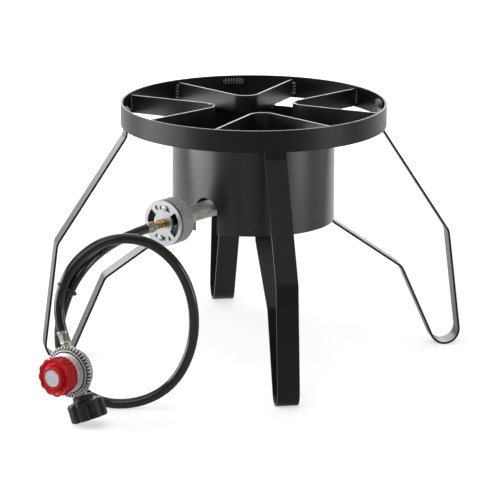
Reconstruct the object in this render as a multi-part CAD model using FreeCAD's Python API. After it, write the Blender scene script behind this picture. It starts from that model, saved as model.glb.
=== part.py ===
import FreeCAD, Part
import math
import os

# Single burner outdoor gas stove: a welded flat-bar stand with a ring and four
# V-shaped pot rests, a gas burner inside a round wind guard, and a rubber hose
# with a pressure regulator. Millimetres, Z up, floor at zero, stand axis on Z.
# The front leg points to -Y and the burner pipe leaves between front and left leg.

# Stand
ring_diameter = 366.0
stand_height = 353.0
bar_width = 30.0
bar_thickness = 3.0
rest_bar_width = 25.0
rest_drop = 2.7
rest_corner_reach = 41.0
rest_bend_radius = 20.0
rest_half_angle = 35.0
seat_gap = 0.05

# Legs, measured on the middle of the bar: distance from the axis and height
leg_top_drop = 8.0
leg_shoulder_drop = 40.0
leg_shoulder_radius = 14.0
knee_reach = 274.4
knee_height = 164.0
knee_radius = 20.0
foot_inset = 2.9
foot_radius = 20.0
inner_knee_inset = 65.8
inner_knee_height = 114.7
inner_knee_radius = 16.0
inner_shoulder_drop = 5.5
inner_shoulder_radius = 10.0
inner_tab_height = 26.0

# Wind guard
guard_diameter = 223.6
guard_wall = 1.5
guard_bottom = 190.3
notch_width = 36.6
notch_height = 48.7

# Weld beads
weld_radius = 3.4
tack_radius = 3.6

# Burner
pipe_rise = 32.7
bowl_radius = 48.0
bowl_wall = 4.0
bowl_lower_height = 22.0
bowl_upper_height = 18.0
boss_radius = 9.0
socket_radius = 16.5
socket_reach = 70.0
socket_seat_reach = 52.0
gas_way_radius = 9.0
cap_thickness = 7.0
cap_lip = 3.0
cap_lip_gap = 0.3
port_radius = 1.5
port_rows = ((38.0, 24), (29.0, 18), (20.0, 12))
bolt_radius = 4.0
bolt_gap = 0.2
bolt_head_radius = 7.5
bolt_head_height = 4.5
bolt_tail = 2.0
washer_radius = 9.0
washer_thickness = 1.6
nut_flats = 13.0
nut_height = 6.0
burner_bar_width = 25.0
burner_bar_thickness = 3.0

# Pipe and air mixer, measured outwards from the axis along the pipe
pipe_radius_in = 12.4
pipe_radius_out = 10.6
pipe_bore_in = 9.6
pipe_bore_out = 8.2
pipe_fit = 0.05
cup_radius = 31.2
cup_back = 178.5
cup_depth = 27.5
cup_wall = 2.6
cup_floor = 4.0
cup_face = 2.6
pipe_in_cup = 4.0
window_inner = 15.5
window_outer = 25.5
window_half_angle = 43.0
slip_gap = 0.1
shutter_thickness = 1.4
shutter_radius = 31.0
shutter_hole_gap = 0.3
shutter_window_half_angle = 41.0
shutter_slot_half_angle = 24.5
shutter_slot_gap = 0.4
window_angles = (90.0, 270.0)
screw_angles = (10.0, 190.0)
vent_angles = (-29.0, 151.0)
vent_half_angle = 3.6
vent_inner = 20.0
vent_outer = 25.5
vent_margin = 0.6
screw_ring = 21.0
screw_radius = 1.9
screw_head_radius = 4.0
screw_head_height = 2.4
screw_tail = 1.5
orifice_radius = 4.0
orifice_tail = 9.0
orifice_bore = 1.2
lock_nut_flats = 11.0
lock_nut_height = 5.0
fitting_flats = 11.5
fitting_hex = 9.0
fitting_neck_radius = 4.8
fitting_neck = 7.5
fitting_bore = 2.5

# Hose
hose_diameter = 13.5
ferrule_wall = 0.6
ferrule_gap = 0.05
ferrule_length = 17.0
ferrule_floor = 2.0
hose_lead = 35.5
hose_rise = 20.2
hose_route = ((-241.0, -246.0, 216.0), (-272.0, -274.0, 197.0), (-293.0, -279.0, 162.0),
              (-303.0, -266.0, 112.0), (-292.0, -253.0, 45.0), (-247.0, -251.0, 6.8),
              (-191.0, -258.0, 6.8), (-146.0, -264.0, 35.0), (-122.0, -267.0, 90.0),
              (-123.0, -267.0, 150.0), (-146.0, -267.0, 201.0), (-186.0, -267.0, 233.0),
              (-237.0, -270.0, 237.0), (-279.0, -279.0, 213.0), (-300.0, -287.0, 177.0))
run_share = 0.45
tie_width = 3.6
tie_thickness = 1.2
tie_gap = 0.3
tie_head = 5.5
tie_tail = 11.0
tie_run_number = 3
tie_share = 0.72

# Regulator: knob axis, ports across it, measured from the middle of the crimped rim
regulator_x = -267.5
regulator_y = -323.7
knob_heading = 42.65
regulator_tilt = 21.5
port_set_back = 11.0
rim_radius = 34.2
rim_wall = 1.0
rim_gap = 0.05
flange_radius = 32.2
flange_thickness = 3.0
rim_lip_reach = 3.8
diaphragm_thickness = 1.0
body_depth = 26.0
body_radius = 30.0
body_back_radius = 15.0
chamber_radius = 25.0
chamber_depth = 12.5
chamber_floor_radius = 14.0
chamber_step = 3.5
boss_port_radius = 6.8
boss_port_reach = 34.0
port_bore = 4.0
bonnet_height = 12.5
neck_radius = 9.5
neck_top = 24.0
bonnet_shoulder_radius = 16.0
spring_room_radius = 9.4
spring_room_top = 15.5
plate_radius = 14.0
plate_thickness = 1.5
stem_radius = 2.0
stem_length = 7.5
spring_radius = 6.4
spring_wire = 1.6
spring_coil_count = 3
button_radius = 8.7
button_low = 11.0
button_height = 2.2
adjuster_radius = 5.0
adjuster_gap = 0.08
adjuster_top = 36.0
knob_low = 17.0
knob_collar_radius = 22.0
knob_collar_top = 21.0
knob_skirt_room_radius = 18.5
knob_skirt_room_top = 20.8
knob_radius = 25.4
knob_top = 33.5
knob_room_radius = 11.0
knob_room_top = 29.0
knob_boss_radius = 14.0
knob_boss_base = 17.0
knob_boss_top = 38.2
knob_lobes = 12
lobe_cut_radius = 4.2
lobe_cut_ring = 27.4
disc_radius = 11.0
disc_recess = 1.0
disc_thickness = 1.3
seat_piece_radius = 3.6
seat_piece_length = 7.0
lever_width = 4.0
lever_thickness = 1.2
lever_reach = 3.0
nipple_radius = 6.5
nipple_bore = 3.0
nipple_end = 61.3
collar_radius = 11.0
collar_thickness = 2.4
seal_radius = 7.1
seal_groove = 5.2
seal_width = 2.6
seal_from_end = 6.0
cylinder_nut_radius = 24.5
cylinder_nut_start = 42.8
cylinder_nut_end = 67.3
cylinder_nut_back = 4.0
cylinder_nut_bore = 16.6
cylinder_nut_gap = 0.3
nut_collar_radius = 13.5
nut_collar_start = 36.8
nut_flutes = 8
flute_radius = 3.6
flute_ring = 26.4

overrun = 2.0

vec = FreeCAD.Vector
up = vec(0, 0, 1)
origin = vec(0, 0, 0)
along = vec(1, 0, 0)
parts = {}


def cylinder(radius, low, high):
    return Part.makeCylinder(radius, high - low, vec(0, 0, low), up)


def rod(radius, start, stop, drop=0.0):
    """A round bar along X, its middle lowered by drop."""
    return Part.makeCylinder(radius, stop - start, vec(start, 0, -drop), along)


def turned(profile, axis):
    """Revolves a closed outline of (radius, place along the axis) about Z or X."""
    if axis == up:
        corners = [vec(r, 0, a) for r, a in profile]
    else:
        corners = [vec(a, 0, r) for r, a in profile]
    face = Part.Face(Part.makePolygon(corners + corners[:1]))
    return face.revolve(origin, axis, 360)


def hexagon(flats, start, stop):
    """A hexagon bar along X."""
    corner = flats / math.sqrt(3)
    points = [vec(start, corner * math.cos(math.radians(60 * k)), corner * math.sin(math.radians(60 * k)))
              for k in range(6)]
    return Part.Face(Part.makePolygon(points + points[:1])).extrude(vec(stop - start, 0, 0))


def strip(points, radii, thickness):
    """A flat band of even thickness round a bent middle line, as a face in the XY plane."""
    half = thickness / 2
    sides = {1: [], -1: []}
    pts = [vec(x, y, 0) for x, y in points]
    first = (pts[1] - pts[0]).normalize()
    last = (pts[-1] - pts[-2]).normalize()
    here = {s: pts[0] + vec(-first.y, first.x, 0) * (s * half) for s in sides}
    for k, radius in enumerate(radii):
        a, b, c = pts[k], pts[k + 1], pts[k + 2]
        u = (b - a).normalize()
        v = (c - b).normalize()
        turn = math.atan2(u.x * v.y - u.y * v.x, u.dot(v))
        sign = 1 if turn > 0 else -1
        tangent = radius * math.tan(abs(turn) / 2)
        inward = (v - u).normalize()
        centre = b + inward * (radius / math.cos(turn / 2))
        for s in sides:
            start = b - u * tangent + vec(-u.y, u.x, 0) * (s * half)
            stop = b + v * tangent + vec(-v.y, v.x, 0) * (s * half)
            middle = centre - inward * (radius - sign * s * half)
            sides[s].append(Part.makeLine(here[s], start))
            sides[s].append(Part.Arc(start, middle, stop).toShape())
            here[s] = stop
    ends = {s: pts[-1] + vec(-last.y, last.x, 0) * (s * half) for s in sides}
    starts = {s: sides[s][0].Vertexes[0].Point for s in sides}
    for s in sides:
        sides[s].append(Part.makeLine(here[s], ends[s]))
    caps = [Part.makeLine(ends[1], ends[-1]), Part.makeLine(starts[-1], starts[1])]
    return Part.Face(Part.Wire(Part.__sortEdges__(sides[1] + sides[-1] + caps)))


def quarter(shape, angle):
    copy = shape.copy()
    copy.rotate(origin, up, angle)
    return copy


def sector(inner, outer, half_angle, middle, start, stop):
    """A piece of a ring about X, from one angle to another, as a block between two places."""
    def at(radius, angle):
        turn = math.radians(angle)
        return vec(start, radius * math.sin(turn), radius * math.cos(turn))
    low, high = middle - half_angle, middle + half_angle
    edges = [Part.Arc(at(inner, low), at(inner, middle), at(inner, high)).toShape(),
             Part.makeLine(at(inner, high), at(outer, high)),
             Part.Arc(at(outer, high), at(outer, middle), at(outer, low)).toShape(),
             Part.makeLine(at(outer, low), at(inner, low))]
    return Part.Face(Part.Wire(edges)).extrude(vec(stop - start, 0, 0))


def bead(middle, direction, length, keep, away):
    """A weld bead: a round run laid in a corner, kept inside one space and clear of the bars."""
    run = Part.makeCylinder(weld_radius, length, middle - direction * (length / 2), direction)
    run = run.common(keep)
    for shape in away:
        run = run.cut(shape)
    return run


# Top ring
ring_radius = ring_diameter / 2
ring_inner = ring_radius - bar_thickness
ring_bottom = stand_height - bar_width
parts["top_ring"] = cylinder(ring_radius, ring_bottom, stand_height).cut(
    cylinder(ring_inner, ring_bottom - overrun, stand_height + overrun))
inside_ring = cylinder(ring_inner, 0, stand_height + bar_width)

# Pot rests: flat bars on edge, bent to a V, welded into the ring
names = ("right", "rear", "left", "front")
quarters = (0, 90, 180, 270)
rest_top = stand_height - rest_drop
rest_bottom = rest_top - rest_bar_width
spread = math.tan(math.radians(rest_half_angle))
arm_x = ring_radius + bar_thickness
arm_y = (arm_x - rest_corner_reach) * spread
rest = strip(((arm_x, arm_y), (rest_corner_reach, 0), (arm_x, -arm_y)), (rest_bend_radius,), bar_thickness)
rest = rest.extrude(up * rest_bar_width)
rest.translate(up * rest_bottom)
rest = rest.common(inside_ring)
for name, angle in zip(names, quarters):
    parts["pot_rest_" + name] = quarter(rest, angle)

# Wind guard with the arched notch, open at both ends, up against the pot rests
guard_radius = guard_diameter / 2
guard_inner = guard_radius - guard_wall
guard = cylinder(guard_radius, guard_bottom, rest_bottom).cut(
    cylinder(guard_inner, guard_bottom - overrun, rest_bottom + overrun))
notch_half = notch_width / 2
notch_spring = guard_bottom + notch_height - notch_half
notch_reach = guard_radius + overrun
notch = Part.makeBox(notch_reach, notch_width, notch_spring - guard_bottom + overrun,
                     vec(0, -notch_half, guard_bottom - overrun))
notch = notch.fuse(rod(notch_half, 0, notch_reach, -notch_spring))
pipe_turn = 225
guard = guard.cut(quarter(notch, pipe_turn))
parts["wind_guard"] = guard
inside_guard = cylinder(guard_inner, 0, stand_height)

# Legs: one bar each, from a tab inside the ring, round the foot, to a tab inside the guard
half_bar = bar_width / 2
tab_reach = math.sqrt(ring_inner ** 2 - half_bar ** 2) - seat_gap - bar_thickness / 2
inner_tab_reach = math.sqrt(guard_inner ** 2 - half_bar ** 2) - seat_gap - bar_thickness / 2
foot_reach = knee_reach - foot_inset
inner_knee_reach = knee_reach - inner_knee_inset
foot_centre = (foot_reach, foot_radius + bar_thickness / 2)
leg_top = stand_height - leg_top_drop
inner_shoulder = guard_bottom - inner_shoulder_drop


def touch(reach, height, side):
    """Direction of the line from a bend that just touches the foot's round."""
    dx = foot_centre[0] - reach
    dz = foot_centre[1] - height
    angle = math.atan2(dz, dx) + side * math.asin(foot_radius / math.hypot(dx, dz))
    return math.cos(angle), math.sin(angle)


out_x, out_z = touch(knee_reach, knee_height, 1)
in_x, in_z = touch(inner_knee_reach, inner_knee_height, -1)
gap_x = inner_knee_reach - knee_reach
gap_z = inner_knee_height - knee_height
reach_out = (gap_x * in_z - gap_z * in_x) / (out_x * in_z - out_z * in_x)
foot_corner = (knee_reach + out_x * reach_out, knee_height + out_z * reach_out)
leg_line = ((tab_reach, leg_top), (tab_reach, stand_height - leg_shoulder_drop), (knee_reach, knee_height),
            foot_corner, (inner_knee_reach, inner_knee_height), (inner_tab_reach, inner_shoulder),
            (inner_tab_reach, inner_shoulder + inner_tab_height))
leg_bends = (leg_shoulder_radius, knee_radius, foot_radius, inner_knee_radius, inner_shoulder_radius)
leg = strip(leg_line, leg_bends, bar_thickness).extrude(up * bar_width)
leg.translate(up * -half_bar)
leg.rotate(origin, along, 90)
for name, angle in zip(names, quarters):
    parts["leg_" + name] = quarter(leg, angle)

# Welds: vertical beads at the rests' ends, level beads on the leg tabs, tacks on the guard's rim
# and beads at the ends of the burner bar
arm_angle = math.radians(rest_half_angle)
corner_run = rest_corner_reach * math.cos(arm_angle)
arm_length = math.sqrt(ring_inner ** 2 - rest_corner_reach ** 2 + corner_run ** 2) - corner_run
guard_middle = (guard_radius + guard_inner) / 2
tack_length = math.sqrt(guard_middle ** 2 - rest_corner_reach ** 2 + corner_run ** 2) - corner_run
end_beads = []
tacks = []
for side in (1, -1):
    arm = vec(math.cos(arm_angle), side * math.sin(arm_angle), 0)
    end = vec(rest_corner_reach, 0, (rest_top + rest_bottom) / 2) + arm * arm_length
    end_beads.append(bead(end, up, rest_bar_width - 2 * weld_radius, inside_ring, (rest,)))
    crossing = vec(rest_corner_reach, 0, rest_bottom) + arm * tack_length
    tacks.append(Part.makeSphere(tack_radius, crossing).cut(rest).cut(guard))
across = vec(0, 1, 0)
top_bead = bead(vec(ring_inner, 0, leg_top), across, bar_width, inside_ring, (leg,))
tab_bead = bead(vec(guard_inner, 0, inner_shoulder + inner_tab_height), across, bar_width, inside_guard, (leg,))
weld_groups = (("rest_welds", end_beads), ("leg_top_welds", [top_bead]),
               ("leg_guard_welds", [tab_bead]), ("guard_rim_welds", tacks))
for name, shapes in weld_groups:
    parts[name] = Part.makeCompound([quarter(s, angle) for angle in quarters for s in shapes])

# Burner bar, bowl, cap and the bolt through all three
pipe_height = guard_bottom + pipe_rise
bowl_bottom = pipe_height - bowl_lower_height
bowl_top = pipe_height + bowl_upper_height
bar_low = bowl_bottom - burner_bar_thickness
hole_radius = bolt_radius + bolt_gap
bolt_hole = cylinder(hole_radius, 0, stand_height)
bar = Part.makeBox(burner_bar_width, guard_diameter, burner_bar_thickness,
                   vec(-burner_bar_width / 2, -guard_radius, bar_low))
bar = bar.common(inside_guard).cut(bolt_hole)
parts["burner_bar"] = quarter(bar, pipe_turn)
bar_beads = [bead(vec(0, side * guard_inner, bar_low), along, burner_bar_width, inside_guard, (bar,))
             for side in (1, -1)]
parts["burner_bar_welds"] = Part.makeCompound([quarter(s, pipe_turn) for s in bar_beads])

bowl_inner = bowl_radius - bowl_wall
pipe_bore_seat = pipe_radius_in + pipe_fit
bowl = cylinder(bowl_radius, bowl_bottom, bowl_top).fuse(rod(socket_radius, 0, socket_reach, -pipe_height))
bowl = bowl.cut(cylinder(bowl_inner, bowl_bottom + bowl_wall, bowl_top + overrun))
bowl = bowl.cut(rod(pipe_bore_seat, socket_seat_reach, socket_reach + overrun, -pipe_height))
bowl = bowl.cut(rod(gas_way_radius, 0, socket_reach, -pipe_height))
bowl = bowl.fuse(cylinder(boss_radius, bowl_bottom, bowl_top)).cut(bolt_hole)
parts["burner_bowl"] = quarter(bowl.removeSplitter(), pipe_turn)

cap = cylinder(bowl_radius, bowl_top, bowl_top + cap_thickness)
lip = cylinder(bowl_inner - cap_lip_gap, bowl_top - cap_lip, bowl_top)
lip = lip.cut(cylinder(bowl_inner - bowl_wall, bowl_top - cap_lip - overrun, bowl_top))
cap = cap.fuse(lip).cut(bolt_hole)
for row_radius, count in port_rows:
    port = cylinder(port_radius, bowl_top - overrun, bowl_top + cap_thickness + overrun)
    port.translate(vec(row_radius, 0, 0))
    cap = cap.cut(Part.makeCompound([quarter(port, 360 * k / count) for k in range(count)]))
parts["burner_cap"] = cap

cap_top = bowl_top + cap_thickness
washer_low = bar_low - washer_thickness
nut_low = washer_low - nut_height
parts["burner_bolt"] = cylinder(bolt_head_radius, cap_top, cap_top + bolt_head_height).fuse(
    cylinder(bolt_radius, nut_low - bolt_tail, cap_top)).removeSplitter()
parts["burner_bolt_washer"] = cylinder(washer_radius, washer_low, bar_low).cut(bolt_hole)
bolt_nut = hexagon(nut_flats, nut_low, washer_low)
bolt_nut.rotate(origin, across, -90)
parts["burner_bolt_nut"] = bolt_nut.cut(cylinder(bolt_radius + seat_gap, 0, stand_height))

# Venturi pipe, air mixer cup, air shutter and gas fittings, along the pipe's own axis
cup_front = cup_back + cup_depth
pipe_end = cup_back + pipe_in_cup
taper_end = cup_back - overrun
pipe = turned(((pipe_bore_in, socket_seat_reach), (pipe_radius_in, socket_seat_reach), (pipe_radius_in, socket_reach),
               (pipe_radius_out, taper_end), (pipe_radius_out, pipe_end), (pipe_bore_out, pipe_end)), along)

cup = rod(cup_radius, cup_back, cup_front)
cup = cup.cut(rod(cup_radius - cup_wall, cup_back + cup_floor, cup_front - cup_face))
cup = cup.cut(rod(pipe_radius_out + pipe_fit, cup_back - overrun, cup_back + cup_floor + overrun))
cup = cup.cut(rod(orifice_radius + seat_gap, cup_front - cup_face - overrun, cup_front + overrun))
vent_gap_angle = math.degrees(vent_margin / vent_outer)
for middle in window_angles:
    cup = cup.cut(sector(window_inner, window_outer, window_half_angle, middle,
                         cup_front - cup_face - overrun, cup_front + overrun))
for middle in vent_angles:
    cup = cup.cut(sector(vent_inner - vent_margin, vent_outer + vent_margin, vent_half_angle + vent_gap_angle,
                         middle, cup_front - cup_face - overrun, cup_front + overrun))
screw_places = [vec(0, screw_ring * math.sin(math.radians(angle)), screw_ring * math.cos(math.radians(angle)))
                for angle in screw_angles]
shutter_low = cup_front + slip_gap
shutter_high = shutter_low + shutter_thickness
head_low = shutter_high + slip_gap
screws = []
for place in screw_places:
    shank = rod(screw_radius, cup_front - cup_face - screw_tail, head_low)
    shank = shank.fuse(rod(screw_head_radius, head_low, head_low + screw_head_height))
    shank.translate(place)
    hole = rod(screw_radius + seat_gap, cup_front - cup_face - overrun, cup_front + overrun)
    hole.translate(place)
    cup = cup.cut(hole)
    screws.append(shank.removeSplitter())

slot_half = screw_radius + shutter_slot_gap
shutter = rod(shutter_radius, shutter_low, shutter_high)
shutter = shutter.cut(rod(orifice_radius + shutter_hole_gap, shutter_low - overrun, shutter_high + overrun))
for middle in window_angles:
    shutter = shutter.cut(sector(window_inner, window_outer, shutter_window_half_angle, middle,
                                 shutter_low - overrun, shutter_high + overrun))
for middle in vent_angles:
    shutter = shutter.cut(sector(vent_inner, vent_outer, vent_half_angle, middle,
                                 shutter_low - overrun, shutter_high + overrun))
for middle in screw_angles:
    shutter = shutter.cut(sector(screw_ring - slot_half, screw_ring + slot_half, shutter_slot_half_angle,
                                 middle, shutter_low - overrun, shutter_high + overrun))

nut_start = shutter_high + slip_gap
nut_stop = nut_start + lock_nut_height
hex_stop = nut_stop + fitting_hex
neck_stop = hex_stop + fitting_neck
orifice = rod(orifice_radius, cup_front - cup_face - orifice_tail, nut_stop)
orifice = orifice.cut(rod(orifice_bore, cup_front - cup_face - orifice_tail - overrun, nut_stop + overrun))
lock_nut = hexagon(lock_nut_flats, nut_start, nut_stop).cut(
    rod(orifice_radius + seat_gap, nut_start - overrun, nut_stop + overrun))
fitting = hexagon(fitting_flats, nut_stop, hex_stop).fuse(rod(fitting_neck_radius, hex_stop, neck_stop))
fitting = fitting.cut(rod(fitting_bore, nut_stop - overrun, neck_stop + overrun))

hose_radius = hose_diameter / 2
sleeve_inner = hose_radius + ferrule_gap
sleeve_outer = sleeve_inner + ferrule_wall


def ferrule(start):
    """A crimped sleeve with a floor, opening away from its start."""
    stop = start + ferrule_length
    inner_stop = stop + overrun
    sleeve = rod(sleeve_outer, start, stop).cut(rod(sleeve_inner, start + ferrule_floor, inner_stop))
    return sleeve.cut(rod(fitting_bore, start - overrun, inner_stop))


ferrule_start = neck_stop
on_pipe = (("venturi_pipe", pipe), ("mixer_cup", cup), ("air_shutter", shutter),
           ("shutter_screws", Part.makeCompound(screws)), ("gas_orifice", orifice),
           ("orifice_lock_nut", lock_nut), ("burner_fitting", fitting),
           ("burner_ferrule", ferrule(ferrule_start)))
for name, shape in on_pipe:
    shape.translate(up * pipe_height)
    parts[name] = quarter(shape, pipe_turn)

# Regulator: knob axis level, ports tilted, the rim of the cylinder nut touching the floor
heading = math.radians(knob_heading)
tilt = math.radians(regulator_tilt)
knob_axis = vec(-math.sin(heading), -math.cos(heading), 0)
level = vec(math.cos(heading), -math.sin(heading), 0)
outlet_axis = up * math.cos(tilt) - level * math.sin(tilt)
nut_face = vec(regulator_x, regulator_y, cylinder_nut_radius * math.sin(tilt))
port_middle = nut_face + outlet_axis * cylinder_nut_end
rim_middle = port_middle + knob_axis * port_set_back
regulator_turn = FreeCAD.Rotation(outlet_axis, knob_axis.cross(outlet_axis), knob_axis, "ZXY")
regulator_place = FreeCAD.Placement(rim_middle, regulator_turn)

lip_low = -flange_thickness
flange_top = diaphragm_thickness + flange_thickness - rim_wall
lip_inner = rim_radius - rim_lip_reach
body = turned(((0, -body_depth), (body_back_radius, -body_depth), (body_radius, -port_set_back),
               (body_radius, lip_low), (flange_radius, lip_low), (flange_radius, 0), (chamber_radius, 0),
               (chamber_radius, -chamber_step), (chamber_floor_radius, -chamber_depth), (0, -chamber_depth)), up)
chamber = turned(((0, 0), (chamber_radius, 0), (chamber_radius, -chamber_step),
                  (chamber_floor_radius, -chamber_depth), (0, -chamber_depth)), up)
bosses = rod(boss_port_radius, -boss_port_reach, boss_port_reach, port_set_back).cut(chamber)
body = body.fuse(bosses)
body = body.cut(rod(port_bore, -boss_port_reach - overrun, -chamber_floor_radius / 2, port_set_back))
body = body.cut(rod(port_bore, chamber_floor_radius / 2, boss_port_reach + overrun, port_set_back))

rim = turned(((rim_radius, lip_low - rim_wall), (rim_radius, flange_top + rim_wall),
              (lip_inner, flange_top + rim_wall), (lip_inner, flange_top), (flange_radius + rim_gap, flange_top),
              (flange_radius + rim_gap, lip_low), (lip_inner, lip_low), (lip_inner, lip_low - rim_wall)), up)
diaphragm = cylinder(flange_radius - rim_gap, 0, diaphragm_thickness).cut(
    cylinder(stem_radius, -overrun, diaphragm_thickness + overrun))
bore = adjuster_radius + adjuster_gap
crown = lip_inner - rim_gap
bonnet = turned(((flange_radius, diaphragm_thickness), (flange_radius, flange_top), (crown, flange_top),
                 (bonnet_shoulder_radius + body_radius - chamber_radius, bonnet_height - rim_wall),
                 (bonnet_shoulder_radius, bonnet_height), (neck_radius, spring_room_top + rim_wall),
                 (neck_radius, neck_top), (bore, neck_top), (bore, spring_room_top),
                 (spring_room_radius, spring_room_top), (spring_room_radius, button_low - button_height),
                 (chamber_radius, flange_top + rim_wall), (chamber_radius, diaphragm_thickness)), up)

plate_top = diaphragm_thickness + plate_thickness
plate = cylinder(plate_radius, diaphragm_thickness, plate_top).fuse(
    cylinder(stem_radius, -stem_length, diaphragm_thickness)).removeSplitter()
button = cylinder(button_radius, button_low, button_low + button_height)
coil_low = plate_top + spring_wire / 2
coil_rise = button_low - plate_top - spring_wire


def coil_point(eighth):
    turn = math.pi * eighth / 4
    return vec(spring_radius * math.cos(turn), spring_radius * math.sin(turn),
               coil_low + coil_rise * eighth / (8 * spring_coil_count))


coil_line = Part.Wire([Part.Arc(coil_point(k), coil_point(k + 1), coil_point(k + 2)).toShape()
                       for k in range(0, 8 * spring_coil_count, 2)])
coil_end = Part.Wire(Part.makeCircle(spring_wire / 2, coil_point(0), coil_line.Edges[0].tangentAt(0)))
spring = coil_line.makePipeShell([coil_end], True, False)
adjuster = cylinder(adjuster_radius, button_low + button_height, adjuster_top)

knob = cylinder(knob_collar_radius, knob_low, knob_collar_top).fuse(
    cylinder(knob_radius, knob_collar_top, knob_top))
boss = Part.makeCone(knob_boss_base, knob_boss_radius, knob_boss_top - knob_top, vec(0, 0, knob_top), up)
knob = knob.fuse(boss)
for k in range(knob_lobes):
    cut = cylinder(lobe_cut_radius, knob_collar_top, knob_top)
    cut.translate(vec(lobe_cut_ring, 0, 0))
    knob = knob.cut(quarter(cut, 360 * k / knob_lobes))
knob = knob.cut(cylinder(knob_skirt_room_radius, knob_low - overrun, knob_skirt_room_top))
knob = knob.cut(cylinder(knob_room_radius, knob_low - overrun, knob_room_top))
knob = knob.cut(cylinder(adjuster_radius, knob_low, adjuster_top))
disc_low = knob_boss_top - disc_recess
knob = knob.cut(cylinder(disc_radius + seat_gap, disc_low, knob_boss_top + overrun)).removeSplitter()
disc = cylinder(disc_radius, disc_low, disc_low + disc_thickness)

seat_stop = -chamber_floor_radius + lever_thickness / 2
seat_piece = rod(seat_piece_radius, seat_stop - seat_piece_length, seat_stop, port_set_back)
arm_low = -stem_length - lever_thickness
lever = Part.makeBox(lever_thickness, lever_width, lever_width,
                     vec(seat_stop, -lever_width / 2, arm_low - lever_width))
lever = lever.fuse(Part.makeBox(lever_reach - seat_stop, lever_width, lever_thickness,
                                vec(seat_stop, -lever_width / 2, arm_low))).removeSplitter()

collar_start = cylinder_nut_start + cylinder_nut_back + cylinder_nut_gap
collar_stop = collar_start + collar_thickness
seal_start = nipple_end - seal_from_end
nipple = turned(((nipple_bore, -boss_port_reach), (nipple_radius, -boss_port_reach),
                 (nipple_radius, -collar_start), (collar_radius, -collar_start), (collar_radius, -collar_stop),
                 (nipple_radius, -collar_stop), (nipple_radius, -seal_start), (seal_groove, -seal_start),
                 (seal_groove, -seal_start - seal_width), (nipple_radius, -seal_start - seal_width),
                 (nipple_radius, -nipple_end), (nipple_bore, -nipple_end)), along)
seal = turned(((seal_groove, -seal_start), (seal_radius, -seal_start), (seal_radius, -seal_start - seal_width),
               (seal_groove, -seal_start - seal_width)), along)
nut_back = cylinder_nut_start + cylinder_nut_back
nut = rod(cylinder_nut_radius, -cylinder_nut_end, -cylinder_nut_start)
nut = nut.fuse(rod(nut_collar_radius, -cylinder_nut_start, -nut_collar_start))
nut = nut.cut(rod(cylinder_nut_bore, -cylinder_nut_end - overrun, -nut_back))
nut = nut.cut(rod(nipple_radius + cylinder_nut_gap, -cylinder_nut_end, -nut_collar_start + overrun))
for k in range(nut_flutes):
    flute = rod(flute_radius, -cylinder_nut_end - overrun, -cylinder_nut_start + overrun, flute_ring)
    flute.rotate(origin, along, 360 * (k + 0.5) / nut_flutes)
    nut = nut.cut(flute)
outlet_stop = boss_port_reach + ferrule_floor
outlet = rod(nipple_radius, boss_port_reach, outlet_stop).cut(
    rod(fitting_bore, boss_port_reach - overrun, outlet_stop + overrun))
sleeve = ferrule(outlet_stop)
for shape in (nipple, seal, nut, outlet, sleeve):
    shape.translate(up * -port_set_back)
on_regulator = (("regulator_body", body), ("regulator_rim", rim), ("diaphragm", diaphragm),
                ("regulator_bonnet", bonnet), ("diaphragm_plate", plate), ("spring_button", button),
                ("pressure_spring", spring), ("adjusting_screw", adjuster), ("regulator_knob", knob),
                ("knob_disc", disc), ("valve_seat_piece", seat_piece), ("valve_lever", lever),
                ("inlet_nipple", nipple), ("inlet_seal", seal), ("cylinder_nut", nut),
                ("outlet_fitting", outlet), ("regulator_ferrule", sleeve))
for name, shape in on_regulator:
    shape.Placement = regulator_place.multiply(shape.Placement)
    parts[name] = shape

# Hose: straight runs joined by tangent arcs, from the burner's ferrule to the regulator's
pipe_way = vec(math.cos(math.radians(pipe_turn)), math.sin(math.radians(pipe_turn)), 0)
hose_start = pipe_way * (ferrule_start + ferrule_floor) + up * pipe_height
lead_end = pipe_way * (ferrule_start + ferrule_length + hose_lead) + up * pipe_height
hose_end = port_middle + outlet_axis * (outlet_stop + ferrule_floor)
rise_end = port_middle + outlet_axis * (outlet_stop + ferrule_length + hose_rise)
route = [hose_start, lead_end] + [vec(*p) for p in hose_route] + [rise_end, hose_end]
edges = []
radii = []
here = route[0]
for k in range(1, len(route) - 1):
    a, b, c = route[k - 1], route[k], route[k + 1]
    u = (b - a).normalize()
    v = (c - b).normalize()
    turn = math.acos(max(-1, min(1, u.dot(v))))
    tangent = run_share * min((b - a).Length, (c - b).Length)
    radius = tangent / math.tan(turn / 2)
    inward = (v - u).normalize()
    centre = b + inward * (radius / math.cos(turn / 2))
    start = b - u * tangent
    stop = b + v * tangent
    edges.append(Part.makeLine(here, start))
    edges.append(Part.Arc(start, centre - inward * radius, stop).toShape())
    radii.append((round(radius, 1), round(math.degrees(turn), 1), round((b - a).Length, 1)))
    here = stop
edges.append(Part.makeLine(here, route[-1]))
hose_line = Part.Wire(edges)
hose_face = Part.Wire(Part.makeCircle(hose_radius, route[0], (route[1] - route[0]).normalize()))
hose = hose_line.makePipeShell([hose_face], True, True)
parts["gas_hose"] = hose

# Hose tie: a flat strap round both strands, with its head and tail
line = hose_line.discretize(Distance=hose_radius / 4)
count = len(line)
knot = route[tie_run_number] * (1 - tie_share) + route[tie_run_number + 1] * tie_share
first = min(range(count // 2), key=lambda k: (line[k] - knot).Length)
second = min(range(count // 2, count), key=lambda k: (line[k] - line[first]).Length)
gap = line[second] - line[first]
strand = (line[first + 1] - line[first - 1]).normalize() + (line[second + 1] - line[second - 1]).normalize()
strand = strand - gap * (strand.dot(gap) / gap.dot(gap))
tie_turn = FreeCAD.Rotation(gap, strand.cross(gap), strand, "ZXY")
tie_place = FreeCAD.Placement(line[first], tie_turn)


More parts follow.
